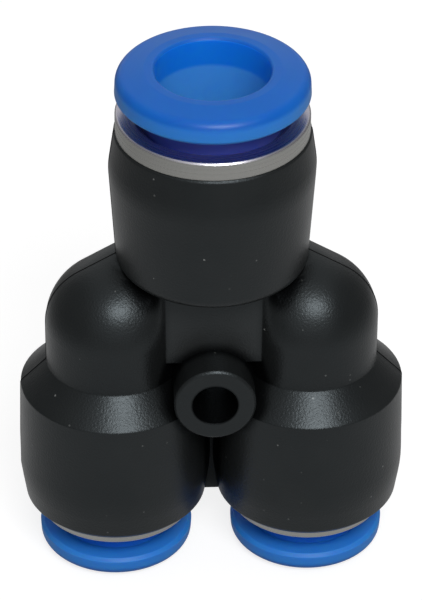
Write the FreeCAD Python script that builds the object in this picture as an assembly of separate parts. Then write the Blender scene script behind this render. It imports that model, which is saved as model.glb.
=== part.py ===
import FreeCAD, Part
import math
import os
from FreeCAD import Vector

# Reducing push-in Y connector: one 10 mm tube socket on top, two 8 mm sockets
# side by side below, joined by two elbow arms. Millimetres, +Z up, X along the
# row of lower sockets, front of the cross hole at -Y. The origin lies midway
# between the lower sockets, on the surface that the connector stands on.

# Most of a side that the rounding at one of its corners may take
rounding_share = 0.5

# Tubes that the sockets take
inlet_tube_diameter = 10.0
outlet_tube_diameter = 8.0
tube_clearance = 0.1

# Moulded shape of the outlet sockets and their necks; the sockets stand side by side
outlet_length = 12.4
outlet_mouth_radius = 8.3
outlet_waist_radius = 8.76
outlet_shoulder_radius = 8.56
outlet_waist_rise = 3.55
outlet_lip_chamfer = 0.55
outlet_waist_rounding = 12.0
neck_radius = 6.18
shoulder_cone_height = 2.45
outlet_gap = 0.18
outlet_spacing = 2 * outlet_waist_radius + outlet_gap

# Elbow arms
arm_slope_degrees = 30.5
elbow_height = 24.4
arm_bore_drop = 1.2

# Moulded shape of the inlet socket, which stands on the arms
inlet_rise = 20.3
inlet_height = elbow_height + inlet_rise
inlet_length = 13.7
inlet_mouth_radius = 8.73
inlet_waist_radius = 9.2
inlet_foot_radius = 8.55
inlet_waist_drop = 3.55
inlet_waist_rounding = 8.0
inlet_foot_rounding = 1.0
inlet_lip_chamfer = 0.2

# Cross-hole boss, the block above it and the thin web below it, between the arms
boss_drop = 4.3
boss_height = elbow_height - boss_drop
boss_radius = 3.68
boss_length = 15.2
boss_chamfer = 0.2
cross_hole_diameter = 4.1
block_thickness = 8.4
block_width = 10.0
block_above_hole = 2.3
block_bottom = boss_height + block_above_hole
web_thickness = 1.0

# Flow passages
inlet_passage_radius = 3.25
outlet_passage_radius = 3.0

# Guide rings
inlet_ring_radius = 8.6
inlet_ring_standout = 1.7
inlet_ring_recess = 0.0
outlet_ring_radius = 7.05
outlet_ring_standout = 1.2
outlet_ring_recess = 0.5
ring_flat_width = 1.4
ring_chamfer = 0.15
ring_lip_length = 2.0
ring_wall = 0.65
ring_barb_height = 0.15
ring_barb_length = 1.5
seat_gap = 0.03

# Release sleeves
sleeve_wall = 1.1
sleeve_clearance = 0.1
inlet_flange_radius = 8.62
inlet_flange_thickness = 2.0
inlet_sleeve_gap = 1.8
outlet_flange_radius = 7.03
outlet_flange_thickness = 1.75
outlet_sleeve_gap = 2.0
sleeve_travel = 1.6
flange_draft = 0.08
flange_rounding = 1.0
flange_back_chamfer = 0.3
crown_height = 0.55
mouth_chamfer = 0.2
land_width = 0.75
bead_height = 0.5
bead_length = 0.5
bead_ramp = 0.55
bead_side_clearance = 0.2
bead_stop_gap = 0.05
travel_spare = 0.7
nose_reach = 0.3
nose_chamfer = 0.6
sleeve_slot_width = 0.8
sleeve_slot_count = 4

# Grab rings
claw_sheet = 0.3
claw_bite = 0.15
claw_slope_degrees = 45.0
claw_gap_width = 0.6
inlet_claw_count = 8
outlet_claw_count = 8

# Back rings and seals
back_ring_clearance = 0.2
back_ring_lip = 0.4
bent_tooth_room = 0.45
seal_length = 2.6
seal_bite = 0.1
seal_lip_thickness = 0.55
tube_end_depth = 1.6


def rounded_face(corners):
    """Closed face in the XZ plane; a corner is (x, z) or (x, z, rounding)."""
    count = len(corners)
    starts = []
    ends = []
    middles = []
    for i in range(count):
        here = Vector(corners[i][0], 0, corners[i][1])
        rounding = corners[i][2] if len(corners[i]) > 2 else 0.0
        if rounding == 0.0:
            starts.append(here)
            ends.append(here)
            middles.append(None)
            continue
        before = corners[i - 1]
        after = corners[(i + 1) % count]
        back = Vector(before[0], 0, before[1]) - here
        on = Vector(after[0], 0, after[1]) - here
        room = rounding_share * min(back.Length, on.Length)
        back.normalize()
        on.normalize()
        half_angle = back.getAngle(on) / 2
        reach = min(rounding / math.tan(half_angle), room)
        rounding = reach * math.tan(half_angle)
        inward = (back + on).normalize()
        starts.append(here + back * reach)
        ends.append(here + on * reach)
        middles.append(here + inward * (rounding / math.sin(half_angle) - rounding))
    edges = []
    for i in range(count):
        if middles[i] is not None:
            edges.append(Part.Arc(starts[i], middles[i], ends[i]).toShape())
        following = starts[(i + 1) % count]
        if (following - ends[i]).Length > 1e-6:
            edges.append(Part.LineSegment(ends[i], following).toShape())
    return Part.Face(Part.Wire(edges))


def turned(corners):
    """Solid of revolution about Z from an outline of (radius, height) corners."""
    return rounded_face(corners).revolve(Vector(0, 0, 0), Vector(0, 0, 1), 360)


class Port:
    """Radii and heights of one socket; heights count outwards from its mouth."""

    def __init__(self, tube_diameter, ring_radius, standout, recess, flange_radius,
                 flange_thickness, sleeve_gap, claw_count):
        self.tube = tube_diameter / 2
        self.bore = self.tube + tube_clearance
        self.neck = self.bore + sleeve_wall
        self.ring_bore = self.neck + sleeve_clearance
        self.bead = self.neck + bead_height
        self.ring_inside = self.bead + bead_side_clearance
        self.throat = self.tube + back_ring_clearance
        self.shank = self.ring_inside + ring_wall
        self.socket = self.shank + seat_gap
        self.ring_radius = ring_radius
        self.flange_radius = flange_radius
        self.claw_count = claw_count
        self.ring_top = standout
        self.ring_seat = -recess
        self.lip_top = self.ring_top - (ring_radius - ring_flat_width - self.ring_bore)
        self.lip_end = self.lip_top - ring_lip_length
        self.bead_top = self.lip_end - bead_stop_gap
        self.bead_end = self.bead_top - bead_length - bead_ramp
        self.ring_end = self.bead_end - sleeve_travel - travel_spare
        self.claw_end = self.ring_end - claw_sheet
        self.nose = self.ring_end - nose_reach
        self.cone_end = (self.nose - sleeve_travel - bent_tooth_room
                         - (self.neck - nose_chamfer - self.throat))
        self.back_end = self.cone_end - back_ring_lip
        self.seal_end = self.back_end - seal_length
        self.stop = self.seal_end - tube_end_depth
        self.flange_inner = self.ring_top + sleeve_gap
        self.flange_outer = self.flange_inner + flange_thickness
        self.crown = self.flange_outer + crown_height


inlet = Port(inlet_tube_diameter, inlet_ring_radius, inlet_ring_standout,
             inlet_ring_recess, inlet_flange_radius, inlet_flange_thickness,
             inlet_sleeve_gap, inlet_claw_count)
outlet = Port(outlet_tube_diameter, outlet_ring_radius, outlet_ring_standout,
              outlet_ring_recess, outlet_flange_radius, outlet_flange_thickness,
              outlet_sleeve_gap, outlet_claw_count)

# The connector stands on the flat lands of the outlet sleeves
outlet_height = outlet.crown


def release_sleeve(port):
    """Flanged tube with a snap bead and a slotted, tapered nose."""
    rim = port.bore + mouth_chamfer
    solid = turned([
        (port.bore, port.nose),
        (port.bore, port.crown - mouth_chamfer),
        (rim, port.crown),
        (rim + land_width, port.crown),
        (port.flange_radius - flange_draft, port.flange_outer, flange_rounding),
        (port.flange_radius, port.flange_inner + flange_back_chamfer),
        (port.flange_radius - flange_back_chamfer, port.flange_inner),
        (port.neck, port.flange_inner),
        (port.neck, port.bead_top),
        (port.bead, port.bead_top),
        (port.bead, port.bead_top - bead_length),
        (port.neck, port.bead_end),
        (port.neck, port.nose + nose_chamfer),
        (port.neck - nose_chamfer, port.nose),
    ])
    slot_top = port.lip_top - ring_lip_length / 2
    slot_depth = slot_top - port.nose
    for i in range(sleeve_slot_count):
        slot = Part.makeBox(port.bead, sleeve_slot_width, slot_depth,
                            Vector(0, -sleeve_slot_width / 2, port.nose))
        turn = 360.0 * (i + 0.5) / sleeve_slot_count
        slot.rotate(Vector(0, 0, 0), Vector(0, 0, 1), turn)
        solid = solid.cut(slot)
    return solid


def guide_ring(port):
    """Collar ring: polished face, barbed shank, inner lip that holds the bead."""
    barb_end = port.ring_end + ring_barb_length
    return turned([
        (port.ring_bore, port.lip_end),
        (port.ring_bore, port.lip_top),
        (port.ring_radius - ring_flat_width, port.ring_top),
        (port.ring_radius - ring_chamfer, port.ring_top),
        (port.ring_radius, port.ring_top - ring_chamfer),
        (port.ring_radius, port.ring_seat),
        (port.shank - ring_barb_height, port.ring_seat),
        (port.shank - ring_barb_height, barb_end),
        (port.shank, barb_end),
        (port.shank - ring_barb_height, port.ring_end),
        (port.ring_inside, port.ring_end),
        (port.ring_inside, port.lip_end),
    ])


def claw_reach(port):
    """Depth from the claw rim to the tips of its teeth, and the tip radius."""
    tip = port.tube - claw_bite
    return (port.ring_inside - tip) * math.tan(math.radians(claw_slope_degrees)), tip


def grab_ring(port):
    """Sheet ring whose cut teeth lean inwards, away from the mouth."""
    depth, tip = claw_reach(port)
    lean = claw_sheet / math.cos(math.radians(claw_slope_degrees))
    solid = turned([
        (port.ring_inside, port.ring_end),
        (port.shank, port.ring_end),
        (port.shank, port.claw_end),
        (port.ring_inside + claw_sheet - lean, port.claw_end),
        (tip, port.ring_end - depth - lean),
        (tip, port.ring_end - depth),
    ])
    root = port.ring_inside
    for i in range(port.claw_count):
        gap = Part.makeBox(root, claw_gap_width, port.shank,
                           Vector(0, -claw_gap_width / 2, port.ring_end - port.shank))
        gap.rotate(Vector(0, 0, 0), Vector(0, 0, 1), 360.0 * i / port.claw_count)
        solid = solid.cut(gap)
    return solid


def back_ring(port):
    """Support ring: a cone that the teeth bend into, then a bore for the tube."""
    cone_height = (port.ring_inside - port.throat) * math.tan(
        math.radians(claw_slope_degrees))
    return turned([
        (port.ring_inside, port.claw_end),
        (port.shank, port.claw_end),
        (port.shank, port.back_end),
        (port.throat, port.back_end),
        (port.throat, port.cone_end),
        (port.ring_inside, port.cone_end + cone_height),
    ])


def seal_ring(port):
    """Rubber ring with a lip that leans towards the pressure side."""
    lip = port.tube - seal_bite
    heel = port.tube + seal_lip_thickness
    middle = (port.back_end + port.seal_end) / 2
    return turned([
        (heel, port.back_end),
        (port.shank, port.back_end),
        (port.shank, port.seal_end),
        (heel + seal_lip_thickness, middle - seal_lip_thickness),
        (lip, port.seal_end),
        (lip, middle),
    ])


def socket_void(port):
    """Stepped hole that the ring, grab ring, back ring, seal and tube end fill."""
    beyond = port.crown
    recess_radius = port.ring_radius + seat_gap
    return turned([
        (0, port.stop),
        (port.bore, port.stop),
        (port.bore, port.seal_end),
        (port.socket, port.seal_end),
        (port.socket, port.ring_seat),
        (recess_radius, port.ring_seat),
        (recess_radius, beyond),
        (0, beyond),
    ])


def at_inlet(solid):
    """Place a port piece on the upright inlet, mouth up."""
    placed = solid.copy()
    placed.translate(Vector(0, 0, inlet_height))
    return placed


def at_outlet(solid, side):
    """Place a port piece on an outlet, mouth down; side is -1 left, +1 right."""
    placed = solid.copy()
    placed.rotate(Vector(0, 0, 0), Vector(1, 0, 0), 180)
    placed.translate(Vector(side * outlet_spacing / 2, 0, outlet_height))
    return placed


def inlet_socket():
    """Outside of the inlet socket, widest a little below its mouth."""
    foot = inlet_height - inlet_length
    return turned([
        (0, foot),
        (inlet_foot_radius, foot, inlet_foot_rounding),
        (inlet_waist_radius, inlet_height - inlet_waist_drop, inlet_waist_rounding),
        (inlet_mouth_radius, inlet_height - inlet_lip_chamfer),
        (inlet_mouth_radius - inlet_lip_chamfer, inlet_height),
        (0, inlet_height),
    ])


def outlet_socket():
    """Outside of an outlet socket with its cone shoulder and upright neck."""
    shoulder = outlet_height + outlet_length
    return turned([
        (0, outlet_height),
        (outlet_mouth_radius - outlet_lip_chamfer, outlet_height),
        (outlet_mouth_radius, outlet_height + outlet_lip_chamfer),
        (outlet_waist_radius, outlet_height + outlet_waist_rise, outlet_waist_rounding),
        (outlet_shoulder_radius, shoulder),
        (neck_radius, shoulder + shoulder_cone_height),
        (neck_radius, elbow_height),
        (0, elbow_height),
    ])


def elbow():
    """Top of the right arm: a ball, and the neck carried on up to a slope."""
    corner = Vector(outlet_spacing / 2, 0, elbow_height)
    rise = outlet_spacing / 2 * math.tan(math.radians(arm_slope_degrees))
    along = Vector(-outlet_spacing / 2, 0, rise)
    leaning = Part.makeCylinder(neck_radius, along.Length, corner, along)
    upright = Part.makeCylinder(neck_radius, neck_radius + rise, corner)
    return Part.makeSphere(neck_radius, corner).fuse(upright.common(leaning))


def outer_form():
    """Sockets, arms and the block that fills the fork under the inlet."""
    foot = inlet_height - inlet_length
    arm = outlet_socket()
    arm.translate(Vector(outlet_spacing / 2, 0, 0))
    arm = arm.fuse(elbow())
    other = arm.copy()
    other.rotate(Vector(0, 0, 0), Vector(0, 0, 1), 180)
    block = Part.makeBox(block_width, block_thickness,
                         foot + inlet_foot_rounding - block_bottom,
                         Vector(-block_width / 2, -block_thickness / 2, block_bottom))
    return inlet_socket().multiFuse([arm, other, block])


def boss():
    """Round boss that carries the cross hole, proud of the arms front and back."""
    half = boss_length / 2
    solid = turned([
        (0, -half),
        (boss_radius - boss_chamfer, -half),
        (boss_radius, boss_chamfer - half),
        (boss_radius, half - boss_chamfer),
        (boss_radius - boss_chamfer, half),
        (0, half),
    ])
    solid.rotate(Vector(0, 0, 0), Vector(1, 0, 0), 90)
    solid.translate(Vector(0, 0, boss_height))
    return solid


def web():
    """Thin wall in the parting plane that ties the two outlet sockets."""
    return Part.makeBox(outlet_spacing, web_thickness, boss_height - outlet_height,
                        Vector(-outlet_spacing / 2, -web_thickness / 2, outlet_height))


def passages():
    """Flow passages from the inlet down both arms."""
    bend_z = elbow_height - arm_bore_drop
    slope = math.radians(arm_slope_degrees)
    meeting_z = bend_z + outlet_spacing / 2 * math.tan(slope)
    meeting = Vector(0, 0, meeting_z)
    down = inlet_height + inlet.stop - meeting_z
    cuts = [Part.makeCylinder(inlet_passage_radius, down, meeting)]
    cuts.append(Part.makeSphere(inlet_passage_radius, meeting))
    outlet_stop = outlet_height - outlet.stop
    for side in (-1, 1):
        foot = Vector(side * outlet_spacing / 2, 0, outlet_stop)
        corner = Vector(side * outlet_spacing / 2, 0, bend_z)
        cuts.append(Part.makeCylinder(outlet_passage_radius, bend_z - outlet_stop, foot))
        cuts.append(Part.makeSphere(outlet_passage_radius, corner))
        leaning = meeting - corner
        cuts.append(Part.makeCylinder(outlet_passage_radius, leaning.Length, corner,
                                      leaning))
    return cuts[0].multiFuse(cuts[1:])


def body():
    """The moulded Y body with its three stepped sockets and the cross hole."""
    solid = outer_form().multiFuse([boss(), web()])
    voids = [at_inlet(socket_void(inlet)), at_outlet(socket_void(outlet), -1),
             at_outlet(socket_void(outlet), 1), passages()]
    hole = Part.makeCylinder(cross_hole_diameter / 2, boss_length,
                             Vector(0, -boss_length / 2, boss_height), Vector(0, 1, 0))
    solid = solid.cut(voids[0].multiFuse(voids[1:] + [hole]))
    return solid.removeSplitter()


makers = {
    "release_sleeve": release_sleeve,
    "guide_ring": guide_ring,
    "grab_ring": grab_ring,
    "back_ring": back_ring,
    "seal_ring": seal_ring,
}

os.makedirs("parts", exist_ok=True)
pieces = {"y_body": body()}
for name, maker in makers.items():
    pieces["inlet_" + name] = at_inlet(maker(inlet))
    pieces["left_" + name] = at_outlet(maker(outlet), -1)
    pieces["right_" + name] = at_outlet(maker(outlet), 1)
for node, shape in pieces.items():
    shape.exportStep("parts/" + node + ".step")
    print(node, len(shape.Solids), "solid", round(shape.Volume, 2), "mm3", shape.isValid())
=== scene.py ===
# %% [markdown]
# # A push-in Y connector for air tubing
#
# The real part is a black moulded body with three sockets. Each socket has a plated metal ring at
# its mouth and a blue plastic sleeve that is pressed in to let the tube go. The shapes come from
# the CAD model, so this lesson is mostly about finishes: moulded plastic, acetal, plated metal.
#
# The CAD model could be copied and remeshed here, but its solids already have true curves and
# smooth normals. So they stay as they are, and only what is too fine for CAD is added to them.

# %% Load the CAD model
import math

import bmesh
import bpy
from mathutils import Matrix, Vector


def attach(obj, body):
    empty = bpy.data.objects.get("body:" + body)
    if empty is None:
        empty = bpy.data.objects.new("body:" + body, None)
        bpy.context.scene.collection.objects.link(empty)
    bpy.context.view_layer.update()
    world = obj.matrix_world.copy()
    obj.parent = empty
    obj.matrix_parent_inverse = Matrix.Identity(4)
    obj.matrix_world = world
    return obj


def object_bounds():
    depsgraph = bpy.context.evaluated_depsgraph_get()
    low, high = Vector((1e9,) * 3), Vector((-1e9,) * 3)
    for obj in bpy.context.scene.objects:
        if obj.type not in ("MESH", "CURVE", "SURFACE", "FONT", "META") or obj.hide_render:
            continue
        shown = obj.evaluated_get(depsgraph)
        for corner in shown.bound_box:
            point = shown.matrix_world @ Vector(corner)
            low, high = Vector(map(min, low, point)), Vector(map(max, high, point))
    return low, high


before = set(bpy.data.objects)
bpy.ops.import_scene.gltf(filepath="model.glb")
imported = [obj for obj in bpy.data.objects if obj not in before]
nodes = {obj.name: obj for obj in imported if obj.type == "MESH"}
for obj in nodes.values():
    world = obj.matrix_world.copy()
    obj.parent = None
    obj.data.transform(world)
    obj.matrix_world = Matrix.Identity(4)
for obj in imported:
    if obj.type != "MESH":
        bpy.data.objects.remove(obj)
cad_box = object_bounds()
print("CAD box in mm:", [round(1000 * (b - a), 2) for a, b in zip(*cad_box)])

# %% [markdown]
# ## Units and places
#
# Everything in the model is in metres, and this fitting is only 50 mm tall. It is easier to think
# in millimetres, so one value turns them into metres. The three sockets all point along Z. The
# inlet is in the middle and the outlets stand to its sides.

# %% Millimetres and the three sockets
MM = 0.001
outlet_spacing = 17.7 * MM
socket_centre = {"inlet": 0.0, "left": -outlet_spacing / 2, "right": outlet_spacing / 2}
print("socket axes at x =", {port: round(1000 * x, 2) for port, x in socket_centre.items()})


# %% [markdown]
# ## Nodes in few words
#
# Every finish here is a tree of shader nodes. Written out, each node takes several lines: make it,
# set its mode, type its values, plug in its links. These helpers do all that in one call, so that
# a recipe can be read from top to bottom. A value goes into a socket if it is typed, and a link is
# made if it comes out of another node.

# %% Helpers: add a node
def set_inputs(tree, node, **inputs):
    for name, value in inputs.items():
        socket = node.inputs[name.replace("_", " ")]
        if isinstance(value, bpy.types.NodeSocket):
            tree.links.new(value, socket)
        else:
            socket.default_value = value
    return node


def add_node(tree, kind, settings=None, **inputs):
    node = tree.nodes.new(kind)
    for name, value in (settings or {}).items():
        setattr(node, name, value)
    return set_inputs(tree, node, **inputs)


def fill(tree, node, indices, values):
    """The same for sockets that share a name and are told apart by their place."""
    for index, value in zip(indices, values):
        if isinstance(value, bpy.types.NodeSocket):
            tree.links.new(value, node.inputs[index])
        else:
            node.inputs[index].default_value = value


def math_node(tree, operation, *values):
    node = add_node(tree, "ShaderNodeMath", {"operation": operation})
    fill(tree, node, (0, 1), values)
    return node.outputs[0]


def vector_node(tree, operation, *values):
    node = add_node(tree, "ShaderNodeVectorMath", {"operation": operation})
    fill(tree, node, (0, 1), values)
    return node.outputs["Vector" if operation == "NORMALIZE" else "Value"]


def mix_vectors(tree, factor, first, second):
    node = add_node(tree, "ShaderNodeMix", {"data_type": "VECTOR"})
    fill(tree, node, (0, 4, 5), (factor, first, second))
    return node.outputs[1]


print("node helpers ready")


# %% [markdown]
# A finish changes from place to place, and a mask says where: it is 0 in one place, 1 in another,
# and runs smoothly between them. Masks that are multiplied give the place where all of them are 1.
# They are worked out from a point's place in the model, which moves with its piece.

# %% Helpers: places and masks
def object_point(tree):
    return add_node(tree, "ShaderNodeTexCoord").outputs["Object"]


def object_xyz(tree):
    split = add_node(tree, "ShaderNodeSeparateXYZ", Vector=object_point(tree))
    return [split.outputs[axis] for axis in "XYZ"]


def distance_across(tree, first, second):
    """How far a point is from an axis, from two measures at right angles to that axis."""
    flat = add_node(tree, "ShaderNodeCombineXYZ", X=first, Y=second)
    return vector_node(tree, "LENGTH", flat.outputs["Vector"])


def fade(tree, value, start, end):
    """A smooth mask: 0 at start, 1 at end."""
    at_low, at_high = (0.0, 1.0) if start < end else (1.0, 0.0)
    node = add_node(tree, "ShaderNodeMapRange", {"interpolation_type": "SMOOTHSTEP"}, Value=value,
                    From_Min=min(start, end), From_Max=max(start, end),
                    To_Min=at_low, To_Max=at_high)
    return node.outputs["Result"]


def where_all(tree, *masks):
    product = masks[0]
    for mask in masks[1:]:
        product = math_node(tree, "MULTIPLY", product, mask)
    return product


print("mask helpers ready")


# %% [markdown]
# ## Soft edges and dark creases
#
# No moulded or turned edge is perfectly sharp. A tiny radius catches the light as a thin line,
# and it is rubbed a little paler than the faces. A real bevel on every edge would cost many
# faces, so the Bevel node bends the normal near an edge instead. Where the bent normal and the
# true one differ, there is an edge, and that difference is also the mask for the worn tint, which
# on the metal rings is partly a painted highlight. An inner corner is no edge: it lies in shade.
# The Ambient Occlusion node finds it, so there the true normal comes back, and a second mask lets
# a finish be painted dark and dull as shade.
#
# Several finishes need this, so it is a node group, which is made once and used in each of them.

# %% Group: soft edges
def new_group(name, inputs, outputs):
    tree = bpy.data.node_groups.new(name, "ShaderNodeTree")
    for label, kind, value in inputs:
        socket = tree.interface.new_socket(label, in_out="INPUT", socket_type=kind)
        if value is not None:
            socket.default_value = value
    for label, kind in outputs:
        tree.interface.new_socket(label, in_out="OUTPUT", socket_type=kind)
    return tree, tree.nodes.new("NodeGroupInput"), tree.nodes.new("NodeGroupOutput")


soft_edges, group_in, group_out = new_group(
    "soft edges",
    [("Radius", "NodeSocketFloat", 0.1 * MM), ("Crease reach", "NodeSocketFloat", 0.6 * MM)],
    [("Normal", "NodeSocketVector"), ("Edge", "NodeSocketFloat"), ("Crease", "NodeSocketFloat")])
rounded = add_node(soft_edges, "ShaderNodeBevel", {"samples": 6},
                   Radius=group_in.outputs["Radius"]).outputs["Normal"]
true_normal = add_node(soft_edges, "ShaderNodeNewGeometry").outputs["Normal"]
agreement = vector_node(soft_edges, "DOT_PRODUCT", rounded, true_normal)
openness = add_node(soft_edges, "ShaderNodeAmbientOcclusion", {"samples": 8},
                    Distance=group_in.outputs["Crease reach"]).outputs["AO"]
crease = fade(soft_edges, openness, 0.90, 0.55)
not_crease = math_node(soft_edges, "SUBTRACT", 1.0, crease)
edge = where_all(soft_edges, not_crease, fade(soft_edges, agreement, 0.995, 0.85))
kept_normal = mix_vectors(soft_edges, not_crease, true_normal, rounded)
set_inputs(soft_edges, group_out, Normal=kept_normal, Edge=edge, Crease=crease)
print(soft_edges.name, "group ready")

# %% [markdown]
# ## Mould grain
#
# A mould for a black body is spark eroded, which leaves a fine pebbled grain of about a fifth of
# a millimetre. It is what makes the highlights on the domes sparkle. Two sizes of noise give the
# pebbles and the slow unevenness of the shrinking plastic. The group puts out a height for the
# bump and a tone that shifts the colour and the gloss.

# %% Group: mould grain
patches_per_metre = 220.0
mould_grain, group_in, group_out = new_group(
    "mould grain",
    [("Grain size", "NodeSocketFloat", 0.12 * MM)],
    [("Height", "NodeSocketFloat"), ("Tone", "NodeSocketFloat")])
place = object_point(mould_grain)
pebbles_per_metre = math_node(mould_grain, "DIVIDE", 1.0, group_in.outputs["Grain size"])
pebbles = add_node(mould_grain, "ShaderNodeTexNoise", Vector=place, Scale=pebbles_per_metre,
                   Detail=2.0, Roughness=0.55)
patches = add_node(mould_grain, "ShaderNodeTexNoise", Vector=place, Scale=patches_per_metre,
                   Detail=3.0, Roughness=0.5)
set_inputs(mould_grain, group_out, Height=pebbles.outputs["Fac"], Tone=patches.outputs["Fac"])
print(mould_grain.name, "group ready")

# %% [markdown]
# ## Dust specks
#
# A black part is never quite clean in a close photograph: a few pale specks lie on it. Voronoi
# cells scatter one point in each cell, and keeping only the cells with a low random value leaves
# a few specks far apart. A second random value makes some of them fainter.

# %% Group: dust specks
speck_size = 0.09
dust_specks, group_in, group_out = new_group(
    "dust specks",
    [("Spacing", "NodeSocketFloat", 0.9 * MM), ("Share", "NodeSocketFloat", 0.2)],
    [("Speck", "NodeSocketFloat")])
cells_per_metre = math_node(dust_specks, "DIVIDE", 1.0, group_in.outputs["Spacing"])
cells = add_node(dust_specks, "ShaderNodeTexVoronoi", Vector=object_point(dust_specks),
                 Scale=cells_per_metre)
near_point = math_node(dust_specks, "LESS_THAN", cells.outputs["Distance"], speck_size)
chance = add_node(dust_specks, "ShaderNodeSeparateColor", Color=cells.outputs["Color"])
kept = math_node(dust_specks, "LESS_THAN", chance.outputs["Red"], group_in.outputs["Share"])
speck = where_all(dust_specks, near_point, kept, chance.outputs["Green"])
set_inputs(dust_specks, group_out, Speck=speck)
print(dust_specks.name, "group ready")

# %% [markdown]
# ## Ball tops
#
# Each arm ends in a ball above its outlet, and a round highlight on it shows that it swells in
# both directions. The solid meets the sloping arm there in a flatter way. The difference is a
# fraction of a millimetre, so it is left to the normal: near the ball's centre, the normal points
# straight away from that centre, and it fades back to the true one farther up and down the arm,
# towards the block between the arms, and on faces that look another way.

# %% Group: ball tops
elbow_height = 24.4 * MM
neck_radius = 6.18 * MM

ball_tops, group_in, group_out = new_group(
    "ball tops", [("Normal", "NodeSocketVector", None)], [("Normal", "NodeSocketVector")])
given_normal = group_in.outputs["Normal"]
x, y, z = object_xyz(ball_tops)
out_x = math_node(ball_tops, "ABSOLUTE", x)
past_axis = math_node(ball_tops, "SUBTRACT", out_x, outlet_spacing / 2)
across = math_node(ball_tops, "MULTIPLY", past_axis, math_node(ball_tops, "SIGN", x))
height = math_node(ball_tops, "SUBTRACT", z, elbow_height)
from_centre = add_node(ball_tops, "ShaderNodeCombineXYZ", X=across, Y=y, Z=height)
reach = vector_node(ball_tops, "LENGTH", from_centre.outputs["Vector"])
away = vector_node(ball_tops, "NORMALIZE", from_centre.outputs["Vector"])
facing = vector_node(ball_tops, "DOT_PRODUCT", away, given_normal)
print("distances from a ball's centre ready")

# %% [markdown]
# The ball's shape holds only on a part of the arm. One hard border would show as a line in the
# highlight, so five smooth masks are multiplied: near the ball's centre, away from the block,
# above the elbow, not far above it, and facing away from the centre. Only the normal is mixed, so
# the outline of the part stays that of the CAD model.

# %% Ball tops: where the normal bends
on_ball = where_all(
    ball_tops,
    fade(ball_tops, reach, neck_radius + 3.0 * MM, neck_radius + 1.8 * MM),
    fade(ball_tops, out_x, 4.4 * MM, 5.6 * MM),
    fade(ball_tops, height, 0.0, 0.4 * MM),
    fade(ball_tops, height, 7.4 * MM, 6.8 * MM),
    fade(ball_tops, facing, 0.2, 0.5))
bent = mix_vectors(ball_tops, on_ball, given_normal, away)
set_inputs(ball_tops, group_out, Normal=vector_node(ball_tops, "NORMALIZE", bent))
print(ball_tops.name, "group ready")


# %% [markdown]
# ## The black moulding
#
# The body is glass-filled nylon or PBT in black, satin rather than glossy, and its shine is a
# little blue. Its colour is a dark neutral grey and never pure black. A Principled shader could
# carry this with fixed values, but then it would look like a toy. So the slow tone from the grain
# group varies colour and roughness, and the pebbles feed the bump. Values that are the same all
# over are typed into the shader itself, and only what changes over the surface is wired in.

# %% Helpers: materials
def new_material(name):
    material = bpy.data.materials.new(name)
    material.use_nodes = True
    tree = material.node_tree
    tree.nodes.clear()
    output = tree.nodes.new("ShaderNodeOutputMaterial")
    shader = tree.nodes.new("ShaderNodeBsdfPrincipled")
    tree.links.new(shader.outputs["BSDF"], output.inputs["Surface"])
    return material, tree, shader


def use_group(tree, group, **inputs):
    return add_node(tree, "ShaderNodeGroup", {"node_tree": group}, **inputs)


def blend_colours(tree, factor, first, second):
    node = add_node(tree, "ShaderNodeMix", {"data_type": "RGBA"})
    with_alpha = [(*c, 1) if isinstance(c, tuple) else c for c in (first, second)]
    fill(tree, node, (0, 6, 7), (factor, *with_alpha))
    return node.outputs[2]


def spread(tree, value, low, high):
    """Turn a tone from 0 to 1 into a value from low to high."""
    return add_node(tree, "ShaderNodeMapRange", Value=value, To_Min=low,
                    To_Max=high).outputs["Result"]


def bump(tree, height, strength, depth, **normal):
    return add_node(tree, "ShaderNodeBump", Height=height, Strength=strength, Distance=depth,
                    **normal).outputs["Normal"]


print("material helpers ready")

# %% [markdown]
# The first step takes all that the body needs from the groups: its edges, the ball tops, the
# grain and the dust. The slow tone of the grain runs from a dark black to a slightly paler one.
# A fixed colour would be simpler, but a real moulding is never so even.

# %% Black moulding: groups and colour
dark_black, pale_black = (0.0055, 0.0062, 0.0066), (0.0125, 0.0134, 0.0132)
black_moulding, tree, shader = new_material("black moulding, fine grain")
edges = use_group(tree, soft_edges, Radius=0.22 * MM, Crease_reach=1.7 * MM)
balls = use_group(tree, ball_tops, Normal=edges.outputs["Normal"])
grain = use_group(tree, mould_grain, Grain_size=0.20 * MM)
dust = use_group(tree, dust_specks, Spacing=1.1 * MM, Share=0.16)
moulded = blend_colours(tree, grain.outputs["Tone"], dark_black, pale_black)
x, y, z = object_xyz(tree)
out_x, out_y = math_node(tree, "ABSOLUTE", x), math_node(tree, "ABSOLUTE", y)
print("grain, edges and dust in", black_moulding.name)

# %% [markdown]
# The flat block between the arms looks paler than the round walls beside it, since its flat face
# mirrors the pale floor in front; that sheen is painted into its colour. A mask of three fades
# finds it from its sides, its front and its lower end. The dust lies over both.

# %% Black moulding: the block and the dust
block_side, block_front, block_bottom = 5.0 * MM, 4.2 * MM, 22.4 * MM
# The block's paler black is a painted sheen, standing in for the pale floor that its face mirrors.
block_painted_sheen, dust_grey, dust_cover = (0.020, 0.0212, 0.0215), (0.30, 0.31, 0.30), 0.5

on_block = where_all(
    tree,
    fade(tree, out_x, block_side - 0.4 * MM, block_side - 1.4 * MM),
    fade(tree, out_y, block_front + 0.2 * MM, block_front + 0.05 * MM),
    fade(tree, z, block_bottom - 0.1 * MM, block_bottom + 1.2 * MM))
with_block = blend_colours(tree, on_block, moulded, block_painted_sheen)
speck = math_node(tree, "MULTIPLY", dust.outputs["Speck"], dust_cover)
dusty = blend_colours(tree, speck, with_block, dust_grey)
print("block and dust in", black_moulding.name)

# %% [markdown]
# Three kinds of place lie in shade, which is painted nearly black: the creases, the cross hole,
# and the groove beside the foot of the inlet where it meets the arms. A darker colour alone isn't
# enough, since even black plastic mirrors its surroundings. There the finish turns into a
# near-black metal, whose reflection is as dark as its colour, and it gets rougher.

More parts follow.
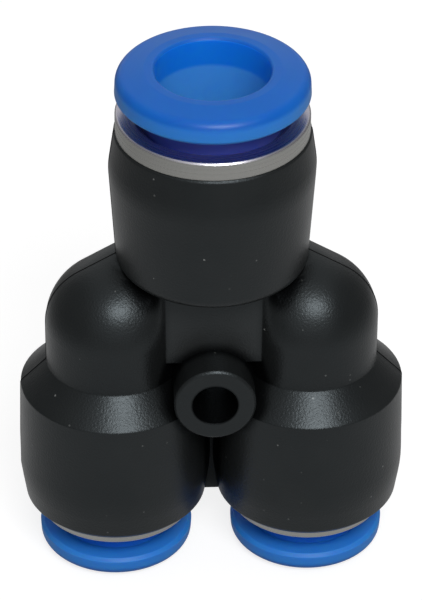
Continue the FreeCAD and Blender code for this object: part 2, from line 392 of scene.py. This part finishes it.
# %% Black moulding: shaded places
hole_height, hole_radius = 20.1 * MM, 2.05 * MM
foot_height, foot_radius = 31.0 * MM, 8.55 * MM
crease_share, hole_share = 0.75, 0.8
# Painted shade: nearly black, for the creases, the cross hole and the groove under the inlet's
# foot.
shade_black = (0.0012, 0.0012, 0.0014)

from_hole = distance_across(tree, x, math_node(tree, "SUBTRACT", z, hole_height))
in_hole = fade(tree, from_hole, hole_radius + 0.2 * MM, hole_radius)
from_inlet = distance_across(tree, x, y)
under_foot = where_all(
    tree,
    fade(tree, from_inlet, foot_radius + 0.75 * MM, foot_radius - 0.35 * MM),
    fade(tree, out_x, block_side - 0.5 * MM, block_side),
    fade(tree, out_y, 2.6 * MM, 3.6 * MM),
    fade(tree, z, foot_height - 3.0 * MM, foot_height - 0.6 * MM),
    fade(tree, z, foot_height + 0.1 * MM, foot_height - 0.05 * MM))
shaded = math_node(tree, "MAXIMUM",
                   math_node(tree, "MULTIPLY", edges.outputs["Crease"], crease_share),
                   math_node(tree, "MULTIPLY", in_hole, hole_share))
shaded = math_node(tree, "MAXIMUM", shaded, under_foot)
print("shaded places in", black_moulding.name)

# %% [markdown]
# The last step wires the masks into the shader. The gloss follows the slow tone, and the shaded
# places are duller and more like that near-black metal. The height of the grain bends the normal
# that the edges and the ball tops left. Real pebbles in the mesh would cost millions of faces.

# %% Black moulding: into the shader
gloss = spread(tree, grain.outputs["Tone"], 0.29, 0.38)
dull = math_node(tree, "MULTIPLY", shaded, 0.55)
set_inputs(tree, shader,
           Base_Color=blend_colours(tree, shaded, dusty, shade_black),
           Metallic=math_node(tree, "MULTIPLY", shaded, 0.85),
           Roughness=math_node(tree, "MAXIMUM", gloss, dull),
           Normal=bump(tree, grain.outputs["Height"], 0.8, 0.03 * MM,
                       Normal=balls.outputs["Normal"]),
           Specular_IOR_Level=0.37, Specular_Tint=(0.82, 0.94, 1.0, 1))
print("made", black_moulding.name)


# %% [markdown]
# ## Where on a socket
#
# The sleeves and the metal rings are turned or moulded round their socket's axis, so their
# finishes follow two measures: how far a point is from the axis, and how far it is out of the
# body's mouth. A third tells an end face from a wall: how much it faces out of the socket. One
# group works them out for any of the three sockets. The two outlets are alike, so their measures
# are given once.

# %% Group: place on a socket
def by_port(inlet, outlets):
    return {"inlet": inlet, "left": outlets, "right": outlets}


mouth_height = by_port(44.7 * MM, 5.5 * MM)
outward = by_port(1.0, -1.0)
socket_place, group_in, group_out = new_group(
    "place on a socket",
    [("Axis x", "NodeSocketFloat", 0.0), ("Mouth z", "NodeSocketFloat", 0.0),
     ("Outward", "NodeSocketFloat", 1.0)],
    [("Radius", "NodeSocketFloat"), ("Out of mouth", "NodeSocketFloat"),
     ("Faces out", "NodeSocketFloat")])
x, y, z = object_xyz(socket_place)
normal = add_node(socket_place, "ShaderNodeNewGeometry").outputs["Normal"]
tilt = add_node(socket_place, "ShaderNodeSeparateXYZ", Vector=normal).outputs["Z"]
from_axis = math_node(socket_place, "SUBTRACT", x, group_in.outputs["Axis x"])
above = math_node(socket_place, "SUBTRACT", z, group_in.outputs["Mouth z"])
way_out = group_in.outputs["Outward"]
set_inputs(socket_place, group_out,
           Radius=distance_across(socket_place, from_axis, y),
           Out_of_mouth=math_node(socket_place, "MULTIPLY", above, way_out),
           Faces_out=math_node(socket_place, "MULTIPLY", tilt, way_out))


def place_on(tree, port):
    return use_group(tree, socket_place, Axis_x=socket_centre[port],
                     Mouth_z=mouth_height[port], Outward=outward[port])


print(socket_place.name, "group ready")

# %% [markdown]
# ## The blue sleeves
#
# The sleeves are acetal, a smooth and slightly milky plastic. Light goes a little way in and
# comes out deeper blue. Subsurface scattering does that; plain diffuse blue would look like
# paint. Where light comes through the flange, the hole glows: bright deep blue above, and a
# paler blue where the bright metal ring stands behind the thin wall. The flange's thin outer edge
# glows too, and the neck below it lies in violet shade. These are painted as colours at those
# places, which also holds in other viewers.

# %% Blue acetal: sizes and tones
flange_back = by_port(3.5 * MM, 3.2 * MM)
bore_wall = by_port(5.5 * MM, 4.5 * MM)
flange_edge = by_port(8.6 * MM, 7.03 * MM)
edge_radius = by_port(0.25 * MM, 0.12 * MM)
dullness = by_port(0.0, 0.12)
glow_width = by_port(1.3 * MM, 2.5 * MM)
# Painted shade on the neck below the flange, and painted light in the bore: its two tones and the
# edge glow.
painted_neck_shade = by_port((0.085, 0.115, 0.500), (0.002, 0.120, 0.680))
deep_blue, pale_blue = (0.002, 0.120, 0.495), (0.005, 0.144, 0.565)
bore_glow_below, bore_glow_above = (0.060, 0.320, 0.780), (0.006, 0.215, 0.780)
edge_glow, worn_blue = (0.028, 0.228, 0.675), (0.06, 0.26, 0.80)
print("flange radii in mm:", {port: round(r / MM, 2) for port, r in flange_edge.items()})


# %% [markdown]
# The three sleeves differ only in size and tone, so one function makes a material for each of
# them. One shared material would have to find out on which socket it is. Three plain ones are
# easier to read, and each keeps its own numbers.

# %% Materials: blue acetal, one for each sleeve
def sleeve_colour(tree, port, tone, edge):
    """The plastic's colour: painted light where the sleeve is thin, painted shade on the neck, and
    rubbed paler at its edges.
    """
    spot = place_on(tree, port)
    radius, out, faces_out = (spot.outputs[n] for n in ("Radius", "Out of mouth", "Faces out"))
    wall, back, rim = bore_wall[port], flange_back[port], flange_edge[port]
    in_bore = where_all(tree, fade(tree, radius, wall, wall - 0.2 * MM),
                        fade(tree, faces_out, 0.6, 0.2))
    in_flange = fade(tree, out, back - 0.45 * MM, back + 0.05 * MM)
    below_flange = fade(tree, out, back, back - 0.15 * MM)
    thin_edge = where_all(
        tree, fade(tree, radius, rim - glow_width[port], rim - 0.3 * glow_width[port]),
        fade(tree, faces_out, 0.5, 0.0))
    plain = blend_colours(tree, tone, deep_blue, pale_blue)
    lit = blend_colours(tree, below_flange, plain, painted_neck_shade[port])
    lit = blend_colours(tree, in_bore, lit, blend_colours(tree, in_flange, bore_glow_below, bore_glow_above))
    lit = blend_colours(tree, thin_edge, lit, edge_glow)
    return blend_colours(tree, math_node(tree, "MULTIPLY", edge, 0.12), lit, worn_blue)


def blue_acetal(port):
    material, tree, shader = new_material("blue acetal, " + port)
    edges = use_group(tree, soft_edges, Radius=edge_radius[port])
    grain = use_group(tree, mould_grain, Grain_size=0.25 * MM)
    tone = grain.outputs["Tone"]
    set_inputs(tree, shader,
               Base_Color=sleeve_colour(tree, port, tone, edges.outputs["Edge"]),
               Roughness=spread(tree, tone, 0.28 + dullness[port], 0.42 + dullness[port]),
               Normal=bump(tree, grain.outputs["Height"], 0.2, 0.008 * MM,
                           Normal=edges.outputs["Normal"]),
               Specular_IOR_Level=0.3, Subsurface_Weight=0.8,
               Subsurface_Radius=(0.15, 0.5, 1.0), Subsurface_Scale=1.5 * MM)
    return material


blue = {port: blue_acetal(port) for port in socket_centre}
print("made", sorted(material.name for material in blue.values()))

# %% [markdown]
# ## Turned and plated metal
#
# The rings at the mouths are turned on a lathe, then nickel plated. A lathe leaves fine circles
# round the axis. Noise that is read at the distance from the axis and the height along it is the
# same all the way round, so it makes such circles. The end face and the edges are polished by
# the sleeve that knocks on them, so they are brighter than the wall. Their colours also hold
# painted light: a painted highlight along the edges, and a painted bluish reflection of the
# sleeve on the end face.

# %% Materials: nickel plate, one for each ring
marks_per_metre = 1 / (0.07 * MM)
dark_nickel, pale_nickel = (0.27, 0.27, 0.255), (0.54, 0.54, 0.52)
# The end face's bluish colour is partly a painted reflection of the sleeve, and the edge colour
# partly a painted highlight.
face_nickel_and_reflection, edge_nickel_and_highlight = (0.66, 0.64, 0.72), (0.90, 0.90, 0.90)


def nickel_plate(port):
    material, tree, shader = new_material("nickel plate, " + port)
    edges = use_group(tree, soft_edges, Radius=0.14 * MM)
    spot = place_on(tree, port)
    profile = add_node(tree, "ShaderNodeCombineXYZ", X=spot.outputs["Radius"],
                       Y=spot.outputs["Out of mouth"])
    marks = add_node(tree, "ShaderNodeTexNoise", Vector=profile.outputs["Vector"],
                     Scale=marks_per_metre, Detail=3.0, Roughness=0.6).outputs["Fac"]
    wall = blend_colours(tree, marks, dark_nickel, pale_nickel)
    on_face = fade(tree, spot.outputs["Faces out"], 0.5, 0.8)
    with_face = blend_colours(tree, on_face, wall, face_nickel_and_reflection)
    on_edge = math_node(tree, "MULTIPLY", edges.outputs["Edge"], 0.8)
    set_inputs(tree, shader,
               Base_Color=blend_colours(tree, on_edge, with_face, edge_nickel_and_highlight),
               Roughness=spread(tree, marks, 0.20, 0.36),
               Normal=bump(tree, marks, 0.3, 0.008 * MM, Normal=edges.outputs["Normal"]),
               Metallic=1.0)
    return material


plated = {port: nickel_plate(port) for port in socket_centre}
print("made", sorted(material.name for material in plated.values()))

# %% [markdown]
# ## The parts inside the sockets
#
# Behind each sleeve sit a grab ring of bright spring steel, a black ring behind its teeth and a
# rubber seal. Only a glimpse of them shows down the hole, but they are seen when the part is
# turned over or opened, so each has its own finish. Rolled sheet has fine lines one way: noise
# that is stretched along Y makes them.

# %% Material: spring steel
spring_steel, tree, shader = new_material("spring steel")
stretched = add_node(tree, "ShaderNodeMapping", Vector=object_point(tree),
                     Scale=(9000, 700, 9000)).outputs["Vector"]
rolled = add_node(tree, "ShaderNodeTexNoise", Vector=stretched, Scale=1.0,
                  Detail=2.0).outputs["Fac"]
set_inputs(tree, shader,
           Base_Color=blend_colours(tree, rolled, (0.50, 0.49, 0.47), (0.70, 0.69, 0.66)),
           Roughness=spread(tree, rolled, 0.22, 0.38),
           Normal=bump(tree, rolled, 0.2, 0.004 * MM), Metallic=1.0)
print("made", spring_steel.name)

# %% [markdown]
# The ring behind the teeth is smooth black acetal, and the seal is rubber: matt, with a fine open
# grain. Both could share the body's finish, but beside each other they would look like one piece.

# %% Materials: black acetal and seal rubber
black_acetal, tree, shader = new_material("black acetal")
edges = use_group(tree, soft_edges, Radius=0.08 * MM)
grain = use_group(tree, mould_grain, Grain_size=0.3 * MM)
set_inputs(tree, shader,
           Base_Color=blend_colours(tree, grain.outputs["Tone"], (0.016, 0.016, 0.017),
                                    (0.028, 0.028, 0.029)),
           Normal=bump(tree, grain.outputs["Height"], 0.15, 0.008 * MM,
                       Normal=edges.outputs["Normal"]),
           Roughness=0.32)

seal_rubber, tree, shader = new_material("seal rubber")
grain = use_group(tree, mould_grain, Grain_size=0.08 * MM)
set_inputs(tree, shader,
           Base_Color=blend_colours(tree, grain.outputs["Tone"], (0.010, 0.010, 0.011),
                                    (0.030, 0.031, 0.031)),
           Normal=bump(tree, grain.outputs["Height"], 0.5, 0.01 * MM), Roughness=0.72)
print("made", black_acetal.name, "and", seal_rubber.name)

# %% [markdown]
# ## Put the finishes on the CAD nodes
#
# A CAD node keeps its mesh, and only its material slot changes. The node's name says which piece
# it is, so one short table sends each piece to its finish.

# %% Assign the finishes
finish_of = {"grab_ring": spring_steel, "back_ring": black_acetal, "seal_ring": seal_rubber}
for name, node in nodes.items():
    port, _, piece = name.partition("_")
    if name == "y_body":
        finish = black_moulding
    elif piece == "guide_ring":
        finish = plated[port]
    elif piece == "release_sleeve":
        finish = blue[port]
    else:
        finish = finish_of[piece]
    node.data.materials.clear()
    node.data.materials.append(finish)
print("finished", len(nodes), "nodes")

# %% [markdown]
# ## The parting line
#
# The two halves of the mould meet on the plane through all three sockets, and leave a fine raised
# line on the outside of the body. It is far too thin for CAD. It could be a stripe in the
# material, but a real ridge also catches light from other sides. Cutting a copy of the body on
# that plane gives the outline to follow.

# %% Cut a copy of the body on the parting plane
section = bmesh.new()
section.from_mesh(nodes["y_body"].data)
bmesh.ops.remove_doubles(section, verts=section.verts, dist=0.001 * MM)
cut = bmesh.ops.bisect_plane(
    section, geom=section.verts[:] + section.edges[:] + section.faces[:],
    dist=0.0001 * MM, plane_co=(0, 0, 0), plane_no=(0, 1, 0))
outline = [e for e in cut["geom_cut"] if isinstance(e, bmesh.types.BMEdge)]
print("the cut has", len(outline), "edges")


# %% [markdown]
# The cut also runs through the sockets and passages, where a mould has cores and no such line. A
# simple test keeps the outside: beside the inlet, beside the outlets, and on top of the arms,
# which slope like the passage inside them.

# %% Keep the outside of the cut
passage_start, passage_end = 28.41, 23.2
passage_fall = (passage_start - passage_end) / (outlet_spacing / 2 / MM)
inlet_foot, beside_inlet, beside_outlet = 31.5, 8.0, 15.0
arm_start, arm_thickness = 7.2, 4.2


def on_outside(point):
    x, z = abs(point.x) / MM, point.z / MM
    if z > inlet_foot:
        return x > beside_inlet
    above_passage = z - (passage_start - passage_fall * x)
    return x > beside_outlet or (x > arm_start and above_passage > arm_thickness)


def outside_edges(side):
    return [e for e in outline
            if side * (e.verts[0].co.x + e.verts[1].co.x) > 0
            and on_outside((e.verts[0].co + e.verts[1].co) / 2)]


print("outside edges:", [len(outside_edges(side)) for side in (-1, 1)])


# %% [markdown]
# The kept edges come in no order, and a few stray ones may be among them. Walking from each loose
# end as far as the edges lead, and keeping the longest walk, gives one clean path for each side.

# %% One path for each side
def path_along(edges):
    left_over = set(edges)
    ends = {}
    for edge in edges:
        for vert in edge.verts:
            ends.setdefault(vert, []).append(edge)
    starts = [v for v, joined in ends.items() if len(joined) == 1]
    best = []
    for start in starts:
        walk, vert = [start], start
        while True:
            step = next((e for e in ends[vert] if e in left_over), None)
            if step is None:
                break
            left_over.discard(step)
            vert = step.other_vert(vert)
            walk.append(vert)
        if len(walk) > len(best):
            best = walk
    return [v.co.copy() for v in best]


seam_paths = [path_along(outside_edges(side)) for side in (-1, 1)]
section.free()
print("path points:", [len(path) for path in seam_paths])

# %% [markdown]
# Geometry Nodes turn the paths into the ridge. The tree takes the path's edges, makes them a
# curve, evens out its points and sweeps a small round profile along it, so the line's width is
# one number that can be changed. Half of the round profile is sunk in the body.

# %% Geometry nodes: the tree's sockets and nodes
ridge_tree = bpy.data.node_groups.new("ridge along a path", "GeometryNodeTree")
face = ridge_tree.interface
face.new_socket("Path", in_out="INPUT", socket_type="NodeSocketGeometry")
width_socket = face.new_socket("Width", in_out="INPUT", socket_type="NodeSocketFloat")
spacing_socket = face.new_socket("Point spacing", in_out="INPUT", socket_type="NodeSocketFloat")
finish_socket = face.new_socket("Finish", in_out="INPUT", socket_type="NodeSocketMaterial")
face.new_socket("Ridge", in_out="OUTPUT", socket_type="NodeSocketGeometry")
given = ridge_tree.nodes.new("NodeGroupInput")
result = ridge_tree.nodes.new("NodeGroupOutput")
radius = math_node(ridge_tree, "MULTIPLY", given.outputs["Width"], 0.5)
to_curve = add_node(ridge_tree, "GeometryNodeMeshToCurve", Mesh=given.outputs["Path"])
even = add_node(ridge_tree, "GeometryNodeResampleCurve", {"mode": "LENGTH"},
                Curve=to_curve.outputs["Curve"], Length=given.outputs["Point spacing"])
profile = add_node(ridge_tree, "GeometryNodeCurvePrimitiveCircle", Resolution=8, Radius=radius)
print(ridge_tree.name, "has its path and its profile")

# %% [markdown]
# The second half sweeps the profile along the curve. Its ends are capped and its faces are shaded
# smooth. It gets its finish inside the tree, so that the kept mesh carries its material.

# %% Geometry nodes: sweep, smooth and dress
sweep = add_node(ridge_tree, "GeometryNodeCurveToMesh", Curve=even.outputs["Curve"],
                 Profile_Curve=profile.outputs["Curve"], Fill_Caps=True)
smooth = add_node(ridge_tree, "GeometryNodeSetShadeSmooth", Geometry=sweep.outputs["Mesh"])
realize = add_node(ridge_tree, "GeometryNodeRealizeInstances", Geometry=smooth.outputs["Geometry"])
dress = add_node(ridge_tree, "GeometryNodeSetMaterial", Geometry=realize.outputs["Geometry"],
                 Material=given.outputs["Finish"])
set_inputs(ridge_tree, result, Ridge=dress.outputs["Geometry"])
print(ridge_tree.name, "tree ready")

# %% [markdown]
# The line is darker than the faces beside it, because shade sits along the ridge. So it gets a
# duller finish of its own, whose darker colour is painted shade.

# %% Material: mould seam
mould_seam, tree, shader = new_material("mould seam")
grain = use_group(tree, mould_grain, Grain_size=0.15 * MM)
set_inputs(tree, shader,
           Base_Color=blend_colours(tree, grain.outputs["Tone"], (0.0030, 0.0030, 0.0032),
                                    (0.0070, 0.0072, 0.0074)),
           Normal=bump(tree, grain.outputs["Height"], 0.8, 0.02 * MM),
           Roughness=0.6, Specular_IOR_Level=0.1)
print("made", mould_seam.name)


# %% [markdown]
# The tree runs as a modifier on an object that holds the two paths. Its inputs are set through
# their identifiers, and its result is kept as a plain mesh, so nothing is left to be worked out
# later. At the widest points the ridge would stand out of the CAD model's box by half its width,
# so it is pressed flat there.

# %% Make the parting line
def add_object(name, data):
    made = bpy.data.objects.new(name, data)
    bpy.context.scene.collection.objects.link(made)
    return made


line = bmesh.new()
for path in seam_paths:
    verts = [line.verts.new(point) for point in path]
    for first, second in zip(verts, verts[1:]):
        line.edges.new((first, second))
path_mesh = bpy.data.meshes.new("parting path")
line.to_mesh(path_mesh)
line.free()
path_object = add_object("parting path", path_mesh)
modifier = path_object.modifiers.new("ridge", "NODES")
modifier.node_group = ridge_tree
modifier[width_socket.identifier] = 0.10 * MM
modifier[spacing_socket.identifier] = 0.20 * MM
modifier[finish_socket.identifier] = mould_seam
depsgraph = bpy.context.evaluated_depsgraph_get()
ridge_mesh = bpy.data.meshes.new_from_object(path_object.evaluated_get(depsgraph))
bpy.data.objects.remove(path_object)
for vert in ridge_mesh.vertices:
    vert.co.x = min(max(vert.co.x, cad_box[0][0]), cad_box[1][0])
parting_line = add_object("parting_line", ridge_mesh)
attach(parting_line, "connector")
print("parting line has", len(ridge_mesh.polygons), "faces")

# %% [markdown]
# ## Floor and surroundings
#
# The photograph has a clean white background. A white floor under strong lamps would do that, but
# it would also flood the part with light. Here the floor is a pale grey sheet that takes the
# part's shadow. What the camera sees of it is lifted to white by a little emission that is
# switched on only for those rays, so it doesn't light the part. Shiny surfaces see a part of that
# lift, where the sheet lies close to the part.

# %% Floor
floor_mesh = bpy.data.meshes.new("floor")
half_side = 0.9
floor_mesh.from_pydata([(-half_side, -half_side, 0), (half_side, -half_side, 0),
                        (half_side, half_side, 0), (-half_side, half_side, 0)],
                       [], [(0, 1, 2, 3)])
floor = add_object("floor", floor_mesh)
print("floor is", 2 * half_side, "m wide")


# %% [markdown]
# The sheet is matt, with no shine of its own. A Light Path node tells which kind of ray looks at
# it: it is lifted nearly to white for the camera and for rays through clear surfaces, and a
# little for reflections near the part.

# %% Material: pale sheet
def lifted_to(tree, direct, mirrored):
    """Strength for camera and see-through rays, and another for reflections of it."""
    rays = tree.nodes.new("ShaderNodeLightPath")
    straight = math_node(tree, "MAXIMUM", rays.outputs["Is Camera Ray"],
                         rays.outputs["Is Transmission Ray"])
    return math_node(tree, "ADD", math_node(tree, "MULTIPLY", straight, direct),
                     math_node(tree, "MULTIPLY", rays.outputs["Is Glossy Ray"], mirrored))


bright_patch_centre = (10 * MM, -12 * MM, 0)
pale_sheet, tree, shader = new_material("pale sheet")
how_far = vector_node(tree, "DISTANCE", object_point(tree), bright_patch_centre)
near = fade(tree, how_far, 110 * MM, 58 * MM)
lift = lifted_to(tree, 0.78, math_node(tree, "MULTIPLY", near, 0.28))
set_inputs(tree, shader, Base_Color=(0.34, 0.34, 0.34, 1), Roughness=0.9,
           Specular_IOR_Level=0.0, Emission_Color=(1, 1, 1, 1), Emission_Strength=lift)
floor_mesh.materials.append(pale_sheet)
print("made", pale_sheet.name)

# %% [markdown]
# The world does the same beyond the floor's edge: it is white to the camera. To the part it is a
# soft tent, brighter in front, above and behind than at the left and right, so that the part's
# sides stay dark. Shiny surfaces see the tent too, and a little of the white.

# %% World
side_glow, middle_glow = 0.14, 0.46
world = bpy.data.worlds.new("studio")
bpy.context.scene.world = world
world.use_nodes = True
tree = world.node_tree
tree.nodes.clear()
output = tree.nodes.new("ShaderNodeOutputWorld")
direction = add_node(tree, "ShaderNodeTexCoord").outputs["Generated"]
sideways = add_node(tree, "ShaderNodeSeparateXYZ", Vector=direction).outputs["X"]
middle = fade(tree, math_node(tree, "ABSOLUTE", sideways), 0.85, 0.30)
glow = math_node(tree, "ADD", side_glow, math_node(tree, "MULTIPLY", middle, middle_glow))
strength = math_node(tree, "MAXIMUM", glow, lifted_to(tree, 1.0, 0.20))
sky = add_node(tree, "ShaderNodeBackground", Color=(1, 1, 1, 1), Strength=strength)
set_inputs(tree, output, Surface=sky.outputs["Background"])
print("made", world.name)


# %% [markdown]
# ## Lamps
#
# The highlights on the two domes sit high and slightly to the right, so the main lamp is a soft
# box about 47 degrees up, a little to the right of the camera. The pale surroundings fill the
# shadows.

# %% Key lamp
def towards(azimuth, elevation):
    """A direction from the part, in degrees: round from the front to the right, and up."""
    a, e = math.radians(azimuth), math.radians(elevation)
    return Vector((math.sin(a) * math.cos(e), -math.cos(a) * math.cos(e), math.sin(e)))


lamp_distance, lamp_aim = 0.60, Vector((0, 0, 25 * MM))
away = towards(11.0, 47.0)
lamp_data = bpy.data.lights.new("key lamp", "AREA")
lamp_data.shape = "RECTANGLE"
lamp_data.size, lamp_data.size_y = 0.27, 0.19
lamp_data.energy = 2.1
key_lamp = add_object("key lamp", lamp_data)
key_lamp.location = lamp_aim + lamp_distance * away
key_lamp.rotation_mode = "QUATERNION"
key_lamp.rotation_quaternion = (-away).to_track_quat("-Z", "Y")
print("key lamp", round(lamp_data.energy, 2), "W")

# %% [markdown]
# ## Camera
#
# The photograph was taken from the front, about 35 degrees up. The camera's place, its long lens
# and the small offset of the picture's centre were worked out from points on the part.

# %% Camera
focal_pixels, distance, picture_height = 4036.15, 363.77 * MM, 600
offset_x, offset_y = -0.85, -3.375
roll, camera_aim = math.radians(0.294), Vector((0, 0, 26.7 * MM))
back = towards(-2.686, 34.651)
right = Vector((0, 0, 1)).cross(back).normalized()
up = back.cross(right)
right, up = (math.cos(roll) * right + math.sin(roll) * up,
             -math.sin(roll) * right + math.cos(roll) * up)
camera_data = bpy.data.cameras.new("camera")
camera_data.sensor_width = 36
camera_data.lens = focal_pixels * camera_data.sensor_width / picture_height
camera_data.shift_x = offset_x / picture_height
camera_data.shift_y = offset_y / picture_height
camera_data.clip_start, camera_data.clip_end = 0.01, 10
camera = add_object("camera", camera_data)
camera.matrix_world = Matrix.Translation(camera_aim + distance * back) @ Matrix(
    (right, up, back)).transposed().to_4x4()
bpy.context.scene.camera = camera
bpy.context.scene.view_settings.view_transform = "Standard"
print("lens", round(camera_data.lens, 1), "mm")
